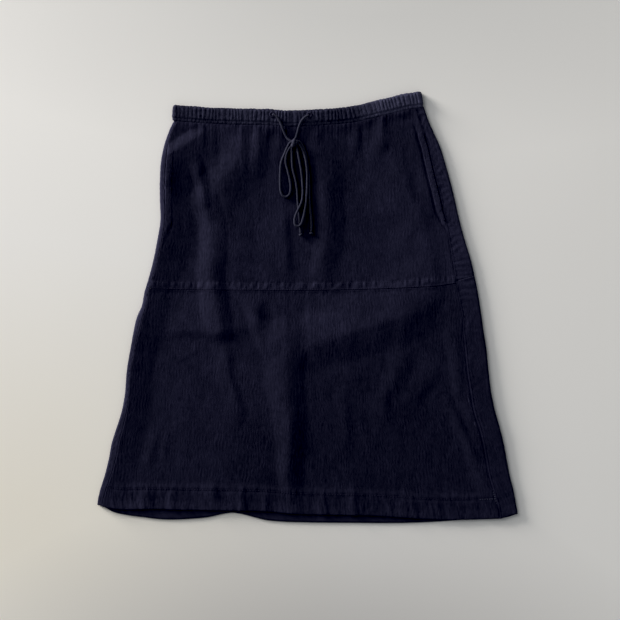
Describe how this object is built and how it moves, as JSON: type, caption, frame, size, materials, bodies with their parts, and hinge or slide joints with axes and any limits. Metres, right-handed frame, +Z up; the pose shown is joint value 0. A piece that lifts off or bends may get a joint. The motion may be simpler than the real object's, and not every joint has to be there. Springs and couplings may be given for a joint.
{
  "type": "crinkle-pleated drawstring skirt",
  "caption": "Knee-length A-line skirt in crinkled cotton laid flat, with a gathered waistband, a tied drawstring, side pockets and a seam across the hips.",
  "frame": {"origin": "centre of the laid skirt's bounding box, on the surface it lies on", "axes": "+Z up from the surface, +Y from the hem towards the waist, +X towards the right of someone who looks at the front with the waist away from them"},
  "size_m": [0.63, 0.6459, 0.0153],
  "materials": {
    "cotton": "matt crinkled cotton, navy",
    "cord": "matt cotton cord, navy",
    "thread": "satin stitching, navy"
  },
  "bodies": {
    "root": {"front_yoke": "cotton", "front_skirt": "cotton", "back_yoke": "cotton", "back_skirt": "cotton", "waistband": "cotton", "pocket_welt_left": "cotton", "pocket_welt_right": "cotton", "eyelet_left": "thread", "eyelet_right": "thread", "drawstring_lead_left": "cord", "drawstring_lead_right": "cord", "drawstring_loop_left": "cord", "drawstring_loop_right": "cord", "drawstring_end_left": "cord", "drawstring_end_right": "cord", "drawstring_knot": "cord", "drawstring_tip_left": "cord", "drawstring_tip_right": "cord"}
  },
  "joints": []
}
